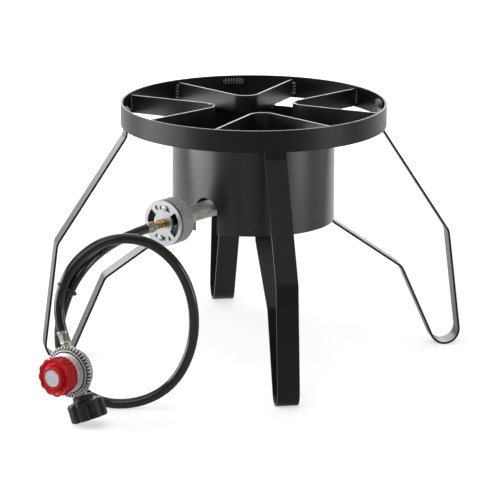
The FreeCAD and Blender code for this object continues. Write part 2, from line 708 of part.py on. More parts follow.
def loop(radius):
    """A long round hole's shape about both strands, as a block as wide as the strap."""
    ends = [Part.makeCylinder(radius, tie_width, vec(x, 0, -tie_width / 2), up) for x in (0, gap.Length)]
    middle = Part.makeBox(gap.Length, 2 * radius, tie_width, vec(0, -radius, -tie_width / 2))
    return middle.multiFuse(ends).removeSplitter()


strap_inner = hose_radius + tie_gap
strap_outer = strap_inner + tie_thickness
strap = loop(strap_outer)
head = Part.makeBox(tie_head, tie_head, tie_head, vec(-strap_outer - tie_head / 2, -tie_head / 2, -tie_head / 2))
tail = Part.makeBox(tie_tail, tie_thickness, tie_width,
                    vec(-strap_outer - tie_tail, tie_head / 4, -tie_width / 2))
tie = strap.multiFuse([head, tail]).cut(loop(strap_inner)).removeSplitter()
tie.Placement = tie_place
tie = tie.cut(hose)
parts["hose_tie"] = tie

os.makedirs("parts", exist_ok=True)
for name, shape in parts.items():
    shape.exportStep("parts/" + name + ".step")

# What was made
for name, shape in parts.items():
    box = shape.BoundBox
    if not shape.isValid() or shape.Volume <= 0:
        print("NOT SOUND", name)
    print(name, len(shape.Solids), round(shape.Volume), [round(x, 1) for x in
          (box.XMin, box.YMin, box.ZMin, box.XMax, box.YMax, box.ZMax)])
section = math.pi * hose_radius ** 2
print("hose length", round(hose_line.Length, 1), "volume share", round(hose.Volume / (section * hose_line.Length), 4))
print("hose bends: radius, turn, run before", radii)
reach = 4 * hose_diameter
step = hose_line.Length / (count - 1)
far = [(line[i] - line[j]).Length for i in range(0, count, 2) for j in range(i + int(reach / step), count, 2)]
print("least gap between strands", round(min(far) - hose_diameter, 2), "lowest", round(hose.optimalBoundingBox().ZMin, 3))
print("tie span", round(gap.Length, 2), "tie inside hose", round(tie.common(hose).Volume, 3))
print("rim middle", rim_middle, "knob axis", knob_axis, "outlet axis", outlet_axis, "port middle", port_middle)
print("route", [(round(p.x, 1), round(p.y, 1), round(p.z, 1)) for p in route])
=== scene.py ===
import bmesh
import bpy
import numpy as np
from math import pi, radians
from mathutils import Matrix
from numpy import array, clip, concatenate, cos, cross, linspace, maximum, minimum, sin, sqrt
from numpy import stack, where
from numpy.linalg import norm


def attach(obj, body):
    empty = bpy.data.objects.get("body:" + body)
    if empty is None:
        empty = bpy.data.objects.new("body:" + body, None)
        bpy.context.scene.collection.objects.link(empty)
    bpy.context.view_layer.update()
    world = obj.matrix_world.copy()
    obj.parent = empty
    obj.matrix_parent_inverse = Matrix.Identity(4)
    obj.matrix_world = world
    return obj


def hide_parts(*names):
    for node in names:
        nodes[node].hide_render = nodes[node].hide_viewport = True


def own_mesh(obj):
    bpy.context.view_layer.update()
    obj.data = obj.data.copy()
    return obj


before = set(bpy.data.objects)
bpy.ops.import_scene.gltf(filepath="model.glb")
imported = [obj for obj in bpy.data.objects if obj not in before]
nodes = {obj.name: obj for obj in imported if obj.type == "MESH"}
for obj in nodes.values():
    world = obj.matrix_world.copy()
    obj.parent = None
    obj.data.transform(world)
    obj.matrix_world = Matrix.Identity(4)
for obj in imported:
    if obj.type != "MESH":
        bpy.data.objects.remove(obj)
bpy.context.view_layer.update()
scene = bpy.context.scene

# Top ring: a flat steel bar on edge, rolled to a hoop and butt welded,
# then powder coated satin black with the rest of the stand.
# Sizes are in millimetres and go into the meshes as metres.
mm = 0.001
ring_outer = 183.0
ring_inner = 180.0
ring_low = 323.0
ring_high = 353.0
bar_edge = 0.3
hoop_steps = 288


def levelled(step, **levels):
    """Sets each named input of a shader node to its level."""
    for name, level in levels.items():
        step.inputs[name.replace("_", " ")].default_value = level
    return step


def new_node(tree, kind, **levels):
    """A new shader node of the given kind, levelled."""
    return levelled(tree.nodes.new("ShaderNode" + kind), **levels)


def coat(name, dark, light, patch, rough, grain, relief, metallic=0, specular=0.5):
    """A finish from two noises on Object coordinates: a wide one drifts the colour from dark to
    light and the roughness between its two values over patches of the given size, and a fine one
    raises a relief of the given height over grains of the given size (millimetres)."""
    material = bpy.data.materials.new(name)
    material.use_nodes = True
    tree = material.node_tree
    shader = levelled(tree.nodes["Principled BSDF"], Metallic=metallic, Specular_IOR_Level=specular)
    low, high = 0.3, 0.7
    place = new_node(tree, "TexCoord").outputs["Object"]
    wide = new_node(tree, "TexNoise", Scale=1 / (patch * mm), Detail=4)
    fine = new_node(tree, "TexNoise", Scale=1 / (grain * mm), Detail=3)
    tones = new_node(tree, "ValToRGB")
    for stop, share, tone in zip(tones.color_ramp.elements, (low, high), (dark, light)):
        stop.position = share
        stop.color = (*tone, 1)
    spread = new_node(tree, "MapRange", From_Min=low, From_Max=high, To_Min=rough[0], To_Max=rough[1])
    bump = new_node(tree, "Bump", Strength=1, Distance=relief * mm)
    link = tree.links.new
    link(place, wide.inputs["Vector"])
    link(place, fine.inputs["Vector"])
    link(wide.outputs["Fac"], tones.inputs["Fac"])
    link(tones.outputs["Color"], shader.inputs["Base Color"])
    link(wide.outputs["Fac"], spread.inputs["Value"])
    link(spread.outputs["Result"], shader.inputs["Roughness"])
    link(fine.outputs["Fac"], bump.inputs["Height"])
    link(bump.outputs["Normal"], shader.inputs["Normal"])
    return material


def bar_outline(width, thickness, edge):
    """Section of a rolled flat bar: a rectangle with quarter circles of the edge radius at its
    corners, as points (across, through) going round once."""
    turn = linspace(0, pi / 2, 5)
    arc = stack([cos(turn), sin(turn)], -1) * edge
    lead = array([[0, -0.4 * edge]])
    tail = array([[-0.4 * edge, 0]])
    corner = concatenate([arc[:1] + lead, arc, arc[-1:] + tail])
    half = array([width / 2 - edge, thickness / 2 - edge])
    flip = corner[::-1]
    return concatenate([
        half + corner, half * (-1, 1) + flip * (-1, 1), -half - corner,
        half * (1, -1) + flip * (1, -1)])


def grid_cells(index):
    """The four corners of each cell between neighbouring rows and columns of point numbers."""
    return stack([index[:-1, :-1], index[:-1, 1:], index[1:, 1:], index[1:, :-1]], -1)


def joined(grids, closed=True, caps=False):
    """Points and faces of several grids of points: each cell is one four-sided face, the columns
    close into a loop unless said otherwise, and caps fill the first and last row."""
    points = []
    faces = []
    first = 0
    for grid in grids:
        rows, columns = grid.shape[:2]
        index = first + np.arange(rows * columns).reshape(rows, columns)
        if closed:
            index = concatenate([index, index[:, :1]], 1)
        faces += grid_cells(index).reshape(-1, 4).tolist()
        if caps:
            faces += [index[0, :columns][::-1].tolist(), index[-1, :columns].tolist()]
        points.append(grid.reshape(-1, 3))
        first += rows * columns
    return concatenate(points), faces


def shown(name, data):
    """A new object with the given data, put into the scene."""
    made = bpy.data.objects.new(name, data)
    scene.collection.objects.link(made)
    return made


def piece(name, shape, material, body="stove", sharp=40, outward=True):
    """Puts a shape's points in millimetres and faces into a mesh, merges what coincides, and fixes it
    to a body. Edges that turn by more than the sharp angle stay crisp."""
    points, faces = shape
    mesh = bpy.data.meshes.new(name)
    mesh.from_pydata((np.asarray(points) * mm).tolist(), [], faces)
    work = bmesh.new()
    work.from_mesh(mesh)
    bmesh.ops.remove_doubles(work, verts=work.verts, dist=1e-7)
    bmesh.ops.dissolve_degenerate(work, edges=work.edges, dist=1e-8)
    if outward:
        bmesh.ops.recalc_face_normals(work, faces=work.faces)
    work.to_mesh(mesh)
    work.free()
    mesh.shade_smooth()
    mesh.set_sharp_from_angle(angle=radians(sharp))
    mesh.materials.append(material)
    made = shown(name, mesh)
    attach(made, body)
    return made


black_coat = coat(
    "satin_black_coat", (0.006, 0.006, 0.0065), (0.01, 0.01, 0.0105), 60, (0.36, 0.42), 0.9, 0.008,
    specular=0.24)
bar_coat = coat(
    "glossier_black_coat", (0.006, 0.006, 0.0065), (0.01, 0.01, 0.0105), 45, (0.3, 0.34), 0.9, 0.001,
    specular=0.24)
# Painted light: a lighter copy of the stand's black coat, its colour raised so that the rests' faces
# look lit.
rest_coat_painted_light = coat(
    "rest_black_coat_painted_light", (0.009, 0.009, 0.0095), (0.015, 0.015, 0.0155), 45, (0.31, 0.37), 0.9, 0.004,
    specular=0.5)
around = linspace(0, 2 * pi, hoop_steps, endpoint=False)
outline = bar_outline(ring_high - ring_low, ring_outer - ring_inner, bar_edge)
hoop_reach = (ring_outer + ring_inner) / 2 + outline[None, :, 1]
hoop_height = (ring_low + ring_high) / 2 + outline[None, :, 0] + 0 * around[:, None]
hoop = stack([hoop_reach * cos(around)[:, None], hoop_reach * sin(around)[:, None], hoop_height], -1)
hoop = concatenate([hoop, hoop[:1]])
ring = piece("stand_ring", joined([hoop]), black_coat)
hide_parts("top_ring")

# Pot rests: four shorter flat bars on edge, each bent to a V with its point towards the middle,
# their ends cut to the ring's inside and welded there.
rest_width = 25.0
rest_thickness = 3.0
rest_low = 325.3
rest_corner = 41.0
rest_bend = 20.0
rest_slant = radians(35)
quarter_turns = {"right": 0, "rear": 90, "left": 180, "front": 270}


def turned(points, angle):
    """Points turned about the stand's axis by an angle in degrees."""
    c, s = cos(radians(angle)), sin(radians(angle))
    return points @ array([[c, s, 0], [-s, c, 0], [0, 0, 1]])


def rest_grid():
    """The V bar: two straight arms and a bend, position = line + offset x left normal. An arm's end
    is where its own line, shifted by the offset, meets the ring: t from |corner + t u + d n| = R."""
    section = bar_outline(rest_width, rest_thickness, bar_edge)
    height = rest_low + rest_width / 2 + section[:, 0]
    offset = section[:, 1]
    c, s = cos(rest_slant), sin(rest_slant)
    start = rest_bend / np.tan(rest_slant)
    arms = []
    for side in (-1, 1):
        way = array([c, side * s])
        normal = array([-s, side * c])
        base = array([rest_corner, 0]) + offset[:, None] * normal
        along = base @ way
        reach = sqrt(ring_inner ** 2 - (base ** 2).sum(1) + along ** 2) - along
        share = linspace(0, 1, 9)[:, None]
        t = start + share * (reach - start)
        arms.append(base[None] + t[..., None] * way)
    bend = linspace(pi - rest_slant, rest_slant, 15)[1:-1]
    out = stack([-sin(bend), cos(bend)], -1)
    centre = array([rest_corner + rest_bend / s, 0])
    curve = centre + (rest_bend + offset)[None, :, None] * out[:, None]
    plan = concatenate([arms[0][::-1], curve, arms[1]])
    return concatenate([plan, np.broadcast_to(height[None, :, None], plan.shape[:2] + (1,))], -1)


for side, angle in quarter_turns.items():
    rest = piece(
        "stand_rest_" + side, joined([turned(rest_grid(), angle)], caps=True), rest_coat_painted_light)
    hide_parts("pot_rest_" + side)

# Legs: one long flat bar each, from a tab welded inside the ring, out over the shoulder and knee,
# round the foot on the floor and back up to a tab welded inside the wind guard.
leg_width = 30.0
leg_thickness = 3.0
leg_line = (
    (177.82, 345), (177.82, 313), (274.4, 164), (307.561, -110.001), (208.6, 114.7), (107.73, 184.8),
    (107.73, 210.8))
leg_bends = (14, 20, 20, 16, 10)


def bent_line(corners, bends, steps=12, gap=40):
    """A line of straight runs joined by tangent arcs: each arc has its own radius and turn and the
    given number of steps, and a zero radius leaves a sharp corner. The points of a run are at most
    the gap apart. Returns the points and their left normals."""
    corners = np.asarray(corners, float)
    ways = np.diff(corners, axis=0)
    ways = ways / norm(ways, axis=1)[:, None]
    left = stack([-ways[:, 1], ways[:, 0]], -1)
    points = []
    normals = []
    here = corners[0]
    for k, radius in enumerate([*bends, None]):
        stop = corners[k + 1]
        if radius:
            before, after = ways[k], ways[k + 1]
            turn = np.arctan2(before[0] * after[1] - before[1] * after[0], before @ after)
            stop = corners[k + 1] - before * radius * np.tan(abs(turn) / 2)
        run = norm(stop - here)
        count = max(2, int(run / gap) + 1)
        lead = min(0.6 * bar_edge / max(run, 1e-9), 0.3)
        share = concatenate([[0, lead], linspace(0, 1, count + 1)[1:-1], [1 - lead, 1]])
        points.append(here + share[:, None] * (stop - here))
        normals.append(np.repeat(left[k][None], len(share), 0))
        here = stop
        if radius:
            side = np.sign(turn)
            centre = stop + left[k] * side * radius
            swing = linspace(0, turn, steps + 1)[1:-1]
            c, s = cos(swing)[:, None], sin(swing)[:, None]
            normal = left[k] * c + array([-left[k][1], left[k][0]]) * s
            points.append(centre - normal * side * radius)
            normals.append(normal)
            here = corners[k + 1] + after * radius * np.tan(abs(turn) / 2)
    return concatenate(points), concatenate(normals)


def unit(way):
    """A direction brought to length one."""
    return way / norm(way)


def leg_grid():
    """The bent bar: place = line(s) + through x normal(s) in the upright plane, and across it by
    the width. The first and last three rows draw in by a quarter circle to round the cut ends."""
    line, normal = bent_line(leg_line, leg_bends, steps=16)
    pull = array([0.75, 0.35, 0.1]) * bar_edge
    inset = concatenate([pull, np.zeros(len(line)), pull[::-1]])
    ends = array([0, 0.12, 0.4]) * bar_edge
    first = unit(line[1] - line[0])
    last = unit(line[-1] - line[-2])
    head = line[0] + ends[:, None] * first
    foot = line[-1] - ends[::-1, None] * last
    line[0] = line[0] + bar_edge * first
    line[-1] = line[-1] - bar_edge * last
    line = concatenate([head, line, foot])
    normal = concatenate([normal[:1]] * 3 + [normal] + [normal[-1:]] * 3)
    flat = bar_outline(leg_width, leg_thickness, bar_edge)
    rows = []
    for place, out, pulled in zip(line, normal, inset):
        section = flat * (1 - 2 * pulled / array([leg_width, leg_thickness]))
        x, z = place[0] + section[:, 1] * out[0], place[1] + section[:, 1] * out[1]
        rows.append(stack([x, section[:, 0], z], -1))
    return array(rows)


for side, angle in quarter_turns.items():
    leg = piece(
        "stand_leg_" + side, joined([turned(leg_grid(), angle)], caps=True), bar_coat)
    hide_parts("leg_" + side)

# Wind guard: sheet steel rolled to a tube and seam welded, open at both ends, with an arched notch
# at its lower edge for the burner pipe. The four legs carry it and the rests lie on its rim.
guard_radius = 111.8
guard_wall = 1.5
guard_edge = 0.35
guard_low = 190.3
guard_high = 325.3
notch_half = 18.3
notch_spring = 220.7
pipe_turn = 225


def guard_sheet():
    """The tube's outer face as two patches: the long way round, rows from the lower edge to the
    upper, and the strip above the notch, whose lower edge is the arch z = spring + sqrt(h2 - y2)."""
    edge = np.arcsin(notch_half / guard_radius)
    round_way = linspace(edge, 2 * pi - edge, 217)
    rise = linspace(0, 1, 25)
    heights = concatenate([
        linspace(guard_low, notch_spring, 9)[:-1], notch_spring + rise * (guard_high - notch_spring)])
    turn, height = np.meshgrid(round_way, heights)
    wall = stack([guard_radius * cos(turn), guard_radius * sin(turn), height], -1)
    swing = linspace(-pi / 2, pi / 2, 33)
    y = notch_half * sin(swing)
    arch = notch_spring + notch_half * cos(swing)
    turn = np.arcsin(y / guard_radius)
    height = arch + rise[:, None] * (guard_high - arch)
    bridge = stack([guard_radius * cos(turn) + 0 * height, y + 0 * height, height], -1)
    return [turned(wall, pipe_turn), turned(bridge, pipe_turn)]


def rounded(made, edge, segments, angle):
    """Small rounds along the edges of a piece that turn by more than the angle."""
    rounds = made.modifiers.new("rounds", "BEVEL")
    rounds.width = edge * mm
    rounds.segments = segments
    rounds.limit_method = "ANGLE"
    rounds.angle_limit = radians(angle)
    rounds.harden_normals = True


def walled(made, thickness, edge, segments=3):
    """Gives a sheet its thickness, away from its face, and small rounds along its edges."""
    wall = made.modifiers.new("wall", "SOLIDIFY")
    wall.thickness = thickness * mm
    wall.offset = -1
    wall.use_even_offset = True
    rounded(made, edge, segments, 50)


guard_coat = coat(
    "smooth_black_coat", (0.004, 0.004, 0.0045), (0.007, 0.007, 0.0075), 70, (0.3, 0.36), 0.9, 0.004,
    specular=0.58)
guard = piece(
    "wind_guard_tube", joined(guard_sheet(), closed=False), guard_coat, outward=False)
walled(guard, guard_wall, guard_edge)
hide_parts("wind_guard")

# Welds: short bumpy beads that a hand welder left where the bars meet, coated black with them: upright
# at the ends of the rests, thick outside the V and thin inside it, level over the leg tabs and at the
# burner bar, tacks on the guard's rim, and one in the point of the left rest.
bead_radius = 3.9
fillet_radius = 5.2
inside_radius = 2.0
leg_bead_radius = 5.3
tip_bead_radius = 3.4
bar_bead_radius = 2.6
fillet_shift = 3.2
inside_shift = -2.0
fillet_back = 4.6
tack_half = 5
leg_weld = (176.4, 15.5, 345.6)
tab_weld = (107.6, 14, 211.4)
tip_weld = ((54.6, 0, 349.5), (63.6, 0, 349.5))
bar_weld_reach = 108.8
bar_weld_half = 11.5
bar_weld_height = 199.8
# Painted glints: the black weld coat's colour is mottled up to a lighter grey in 2 mm patches that
# stand in for glints on the beads.
weld_coat_painted_glints = coat(
    "weld_painted_glints", (0.01, 0.01, 0.01), (0.07, 0.07, 0.07), 2.4, (0.1, 0.18), 0.8, 0.03, specular=0.9)
welder = np.random.default_rng(11)


def bead_grid(start, stop, radius, ripple=4.2):
    """A weld bead: a tube whose radius swells and sinks with each drop of metal along it,
    r = r0 (0.36 + 0.58 |cos|^0.7 + noise), and closes in a half circle at its ends."""
    start, stop = np.asarray(start, float), np.asarray(stop, float)
    length = norm(stop - start)
    way = (stop - start) / length
    side = unit(cross(way, [0.31, 0.42, 0.85]))
    over = cross(way, side)
    s = linspace(0, 1, max(25, int(length / 0.55)))
    t = linspace(0, 2 * pi, 18, endpoint=False)
    end = minimum(minimum(s, 1 - s) * length / (0.9 * radius), 1)
    round_end = sqrt(maximum(1 - (1 - end) ** 2, 0))
    drops = abs(cos(pi * (s * length / ripple + welder.uniform(0, 1)))) ** 0.7
    uneven = np.interp(s, linspace(0, 1, 8), welder.uniform(-0.12, 0.12, 8))
    wander = np.interp(s, linspace(0, 1, 6), welder.uniform(-0.7, 0.7, 6))
    r = radius * (0.36 + 0.58 * drops + uneven) * round_end
    middle = start + s[:, None] * (stop - start) + wander[:, None] * side
    ring_way = cos(t)[:, None] * side + sin(t)[:, None] * over
    return middle[:, None] + r[:, None, None] * ring_way[None]


def level_bead(reach, half, height, radius):
    """A level bead square to the stand's radius, as long as half to each side."""
    return bead_grid((reach, -half, height), (reach, half, height), radius)


def arm_reach(radius):
    """How far from the V's corner the line of a rest's arm meets a circle about the stand."""
    return sqrt(radius ** 2 - (rest_corner * sin(rest_slant)) ** 2) - rest_corner * cos(rest_slant)


weld_run = arm_reach(ring_inner) - fillet_back
tack_run = arm_reach(guard_radius - guard_wall / 2)
rest_beads = []
leg_beads = []
tab_beads = []
tack_beads = []
for angle in quarter_turns.values():
    for side in (-1, 1):
        way = array([cos(rest_slant), side * sin(rest_slant), 0])
        end = array([rest_corner, 0, 0]) + way * weld_run
        for across, radius in ((fillet_shift, fillet_radius), (inside_shift, inside_radius)):
            foot = end + across * array([-side * way[1], side * way[0], 0])
            foot = foot + way * (fillet_radius - radius) * 0.8
            bead = bead_grid(
                foot + [0, 0, rest_low + 3], foot + [0, 0, rest_low + rest_width - 2], radius)
            rest_beads.append(turned(bead, angle))
        crossing = array([rest_corner, 0, rest_low - 0.2]) + way * tack_run
        tack = bead_grid(crossing - way * tack_half, crossing + way * tack_half, bead_radius)
        tack_beads.append(turned(tack, angle))
    leg_beads.append(turned(level_bead(*leg_weld, leg_bead_radius), angle))
    tab_beads.append(turned(level_bead(*tab_weld, bead_radius), angle))
rest_beads.append(turned(bead_grid(*tip_weld, tip_bead_radius), quarter_turns["left"]))
bar_beads = []
for across in (-bar_weld_reach, bar_weld_reach):
    start = (-bar_weld_half, across, bar_weld_height)
    stop = (bar_weld_half, across, bar_weld_height)
    bar_beads.append(turned(bead_grid(start, stop, bar_bead_radius), pipe_turn))
for name, beads, node in (
        ("rest_beads", rest_beads, "rest_welds"), ("leg_top_beads", leg_beads, "leg_top_welds"),
        ("leg_tab_beads", tab_beads, "leg_guard_welds"), ("rim_tacks", tack_beads, "guard_rim_welds"),
        ("burner_bar_beads", bar_beads, "burner_bar_welds")):
    made = piece(name, joined(beads), weld_coat_painted_glints)
    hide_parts(node)

# Burner: a cast iron bowl with a drilled cast iron cap, held by one plated bolt on a flat bar that
# is welded across the guard. The CAD solids are kept and get rounded edges and their finishes.
sand_cast_iron = coat(
    "sand_cast_iron", (0.02, 0.02, 0.021), (0.042, 0.04, 0.038), 14, (0.6, 0.8), 1.3, 0.16)
zinc_plate = coat(
    "zinc_plate", (0.36, 0.36, 0.345), (0.48, 0.48, 0.46), 16, (0.36, 0.48), 0.8, 0.012, metallic=1)


def coated(name, finish):
    """A CAD solid with its finish put on."""
    solid = nodes[name]
    solid.data.materials.clear()
    solid.data.materials.append(finish)
    return solid


def eased(name, edge, finish):
    """A CAD solid shown as it is, its triangles joined and its edges rounded off."""
    solid = coated(name, finish)
    solid.modifiers.new("join", "WELD").merge_threshold = 0.002 * mm
    rounded(solid, edge, 2, 40)


eased("burner_bowl", 0.8, sand_cast_iron)
eased("burner_cap", 0.4, sand_cast_iron)
eased("burner_bar", 0.4, black_coat)
for name in ("burner_bolt", "burner_bolt_washer", "burner_bolt_nut"):
    eased(name, 0.3, zinc_plate)

# Venturi pipe: a tapered steel tube, zinc plated, pushed into the bowl's socket at one end and into
# the air mixer's cup at the other.
pipe_height = 223.0
pipe_profile = ((9.6, 52), (12.4, 52), (12.4, 72), (10.6, 176.5), (10.6, 182.5), (8.2, 182.5))
along_pipe = array([cos(radians(pipe_turn)), sin(radians(pipe_turn)), 0])
across_pipe = array([-along_pipe[1], along_pipe[0], 0])
pipe_axis = (array([across_pipe, [0, 0, 1], along_pipe]), array([0, 0, pipe_height]))


def placed(local, axis):
    """Points counted along an axis's three directions from its middle, put into the stove's frame."""
    ways, middle = axis
    return middle + local @ ways


def lathe(profile, axis, steps=96, radius=None):
    """A turned shape: each profile point (r, a) goes round the axis, place = middle + r cos t e1
    + r sin t e2 + a e3. Where radius is given, it replaces r by radius(r, a, t)."""
    profile = np.asarray(profile, float)
    t = linspace(0, 2 * pi, steps, endpoint=False)
    r, a = profile[:, :1], profile[:, 1:2]
    r = r + 0 * t if radius is None else radius(r + 0 * t, a + 0 * t, t + 0 * r)
    return placed(stack([r * cos(t), r * sin(t), a + 0 * t], -1), axis)


def closed_lathe(*shape):
    """A lathe shape whose outline closes on itself, so that bore and outside join."""
    grid = lathe(*shape)
    return concatenate([grid, grid[:1]])


def smooth_profile(corners, bends):
    """A lathe outline with each inner corner rounded by its own radius."""
    return bent_line(corners, bends, steps=5, gap=12)[0]


tube_outline = smooth_profile(pipe_profile + pipe_profile[:1], (0.4, 30, 30, 0.4, 0.4))
mottled_zinc = coat(
    "mottled_zinc", (0.29, 0.29, 0.27), (0.55, 0.55, 0.53), 6, (0.4, 0.58), 1.4, 0.05, metallic=0.7)
pipe = piece(
    "burner_pipe", joined([closed_lathe(tube_outline, pipe_axis)]), mottled_zinc)
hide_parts("venturi_pipe")

# Air mixer cup: a die-cast cup on the pipe's end, with a face plate that has an air window at each
# side, two small vents and a threaded hole in the middle for the gas orifice.
cup_radius = 31.2
cup_wall = 2.6
cup_back = 178.5
cup_front = 206.0
cup_face = 2.6
cup_bore = 10.7
cup_floor = cup_back + 4
cup_inside = cup_radius - cup_wall
seam = cup_radius - 0.9
neck = cup_radius - 2.0
window_inner = 15.5
window_outer = 25.5
vent_low = 19.4
vent_high = 26.1
face_bore = 4.05
face_shift = 0.1
cup_casting = coat(
    "grey_die_casting", (0.31, 0.305, 0.282), (0.43, 0.425, 0.395), 5, (0.5, 0.64), 1.2, 0.07,
    metallic=0.55)
bright_zinc = coat(
    "bright_zinc", (0.232, 0.237, 0.242), (0.29, 0.295, 0.3), 12, (0.42, 0.5), 1.2, 0.004, metallic=1)
cup_outline = smooth_profile(
    ((cup_bore, cup_back), (seam, cup_back), (seam, cup_back + 2), (cup_radius, cup_back + 2.4),
    (cup_radius, cup_front - 2.9), (neck, cup_front - 2.8), (neck, cup_front), (cup_inside, cup_front),
    (cup_inside, cup_floor), (cup_bore, cup_floor), (cup_bore, cup_back)),
    (0.6, 0.2, 0.4, 0.4, 0.2, 0.3, 0, 1, 0))


def shade_painted_in_gaps(material):
    """Painted shade: mixes the finish's colour to near black where the mesh's "gap" attribute is one,
    standing in for the shadow in grooves, notches and seams.
    """
    tree = material.node_tree
    gap = new_node(tree, "Attribute")
    gap.attribute_name = "gap"
    mix = new_node(tree, "Mix")
    mix.data_type = "RGBA"
    # The near black of the painted shade.
    mix.inputs["B"].default_value = (0.012, 0.012, 0.012, 1)
    tree.links.new(gap.outputs["Fac"], mix.inputs["Factor"])
    tree.links.new(tree.nodes["Color Ramp"].outputs["Color"], mix.inputs["A"])
    tree.links.new(mix.outputs["Result"], tree.nodes["Principled BSDF"].inputs["Base Color"])


def mesh_points(mesh):
    """A mesh's points in millimetres."""
    points = np.empty(len(mesh.vertices) * 3)
    mesh.vertices.foreach_get("co", points)
    return points.reshape(-1, 3) / mm


def polar_points(made, axis):
    """The reach, angle and height about an axis of each point of a piece."""
    ways, middle = axis
    x, y, height = ((mesh_points(made.data) - middle) @ ways.T).T
    return np.hypot(x, y), np.arctan2(y, x), height


def set_painted_shade(made, share):
    """Stores, from zero to one, how much painted shade each point of a mesh gets, in its "gap"
    attribute.
    """
    made.data.attributes.new("gap", "FLOAT", "POINT").data.foreach_set("value", share)


shade_painted_in_gaps(cup_casting)
cup = piece(
    "air_mixer_cup", joined([closed_lathe(cup_outline, pipe_axis)]), cup_casting)
reach, angle, height = polar_points(cup, pipe_axis)
# Painted shade: the cup's front step wall, just behind the shutter's edge, is darkened to near black
# for the shadow in the seam.
set_painted_shade(cup, clip((cup_radius - 0.15 - reach) / 0.2, 0, 1) * (height > cup_front - 3.2))
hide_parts("mixer_cup")


def holed_plate(inner, outer, holes, place):
    """A flat ring in polar steps (r, t), with every cell inside a hole (r0, r1, t0, t1), or inside one
    half a turn from it, left out. The angle is counted from the top. The plate faces along the pipe."""
    holes = [(r0, r1, t0 + half, t1 + half) for half in (0, 180, 360) for r0, r1, t0, t1 in holes]
    reaches = sorted({inner, outer, *(r for hole in holes for r in hole[:2])})
    turns = sorted({0, 360, *(t for hole in holes for t in hole[2:] if 0 < t < 360)})
    reach = concatenate(
        [linspace(a, b, 4)[:-1] for a, b in zip(reaches[:-1], reaches[1:])] + [[reaches[-1]]])
    turn = concatenate(
        [linspace(a, b, max(2, int((b - a) / 3)) + 1)[:-1] for a, b in zip(turns[:-1], turns[1:])]
        + [[turns[-1]]])
    r, t = np.meshgrid(reach, np.radians(turn), indexing="ij")
    local = stack([r * sin(t), r * cos(t), place + 0 * r], -1)
    points = placed(local.reshape(-1, 3), pipe_axis)
    mid_r = (reach[1:] + reach[:-1])[:, None] / 2
    mid_t = (turn[1:] + turn[:-1])[None] / 2
    cells = grid_cells(np.arange(r.size).reshape(r.shape))
    keep = np.ones(cells.shape[:2], bool)
    for r0, r1, t0, t1 in holes:
        keep &= ~((mid_r > r0) & (mid_r < r1) & (mid_t > t0) & (mid_t < t1))
    cells = cells[keep]
    used = np.unique(cells)
    renumber = np.zeros(r.size, int)
    renumber[used] = np.arange(len(used))
    return points[used], renumber[cells].tolist()


face_holes = ((window_inner, window_outer, 47, 133), (vent_low, vent_high, 146, 156))
face = piece(
    "air_mixer_face", holed_plate(face_bore, cup_inside, face_holes, cup_front - face_shift),
    bright_zinc, outward=False)
walled(face, cup_face - face_shift, 0.25, segments=2)

# Air shutter: a stamped zinc-plated disc with a turned-back edge that turns on the orifice against
# the cup's face, with the same windows and vents and a slot round each of the two screws that hold it.
shutter_radius = 31.0
shutter_low = 206.1
shutter_thickness = 1.4
shutter_bore = 4.3
slot_low = 18.7
slot_high = 23.3
vent_inner = 20.0
shutter_holes = (
    (window_inner, window_outer, 49, 131), (slot_low, slot_high, -14.5, 34.5),
    (vent_inner, window_outer, 147.4, 154.6))
shutter_sheet = holed_plate(
    shutter_bore, shutter_radius, shutter_holes, shutter_low + shutter_thickness)
shutter = piece(
    "air_shutter_disc", shutter_sheet, bright_zinc, "shutter", outward=False)
walled(shutter, shutter_thickness, 0.3, segments=2)
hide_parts("air_shutter")
edge_outline = smooth_profile(
    ((29.6, 204.8), (31.1, 204.8), (31.1, 207.45), (29.6, 207.45), (29.6, 204.8)), (0.25, 0.35, 0.25))
piece(
    "air_shutter_edge", joined([closed_lathe(edge_outline, pipe_axis, 128)]),
    bright_zinc, "shutter")

# Shutter screws: two small plated pan-head screws with a cross slot, through the shutter's slots
# into the cup's face.
screw_ring = 21.0
screw_head = 4.0
head_low = 207.6
head_height = 2.4
shank_radius = 1.9
shank_end = 202.0
cross_depth = 1.1
cross_half = 0.42
cross_reach = 2.4


def screw_grid(angle):
    """A pan head: z = dome of a circle less the cross slot, whose depth falls off smoothly from the
    slot's middle line, on a polar grid; the shank below is a plain rod. The angle is from the top."""
    dome = linspace(0.99, 0, 22)
    r = concatenate([[0, shank_radius, shank_radius, 3.7, screw_head], screw_head * dome])
    z = concatenate([
        [shank_end, shank_end, head_low, head_low, head_low + 0.3],
        head_low + head_height * (0.35 + 0.65 * sqrt(1 - dome ** 2))])
    t = linspace(0, 2 * pi, 96, endpoint=False)
    x, y = r[:, None] * cos(t), r[:, None] * sin(t)
    arm = minimum(abs(x * 0.8 + y * 0.6), abs(y * 0.8 - x * 0.6))
    top = (np.arange(len(r)) >= len(r) - len(dome))[:, None]
    cut = (top * cross_depth / (1 + np.exp((arm - cross_half) / 0.06))
           / (1 + np.exp((r[:, None] - cross_reach) / 0.12)))
    x, y = x + screw_ring * sin(radians(angle)), y + screw_ring * cos(radians(angle))
    return placed(stack([x, y, z[:, None] - cut], -1), pipe_axis)


screws = piece(
    "shutter_screw_pair", joined([screw_grid(10), screw_grid(190)]), zinc_plate)
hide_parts("shutter_screws")

# Gas orifice, lock nut and hose fitting: turned brass, the orifice screwed through the cup's face
# and locked by a hexagon nut. The fitting, a thread, a hexagon and a collared neck, is screwed onto
# it and crimped into the hose's end.
brass = coat(
    "turned_brass", (0.62, 0.41, 0.13), (0.78, 0.55, 0.21), 5, (0.14, 0.22), 1, 0.002, metallic=1)
brass_steps = 144
fitting_bore = 2.5


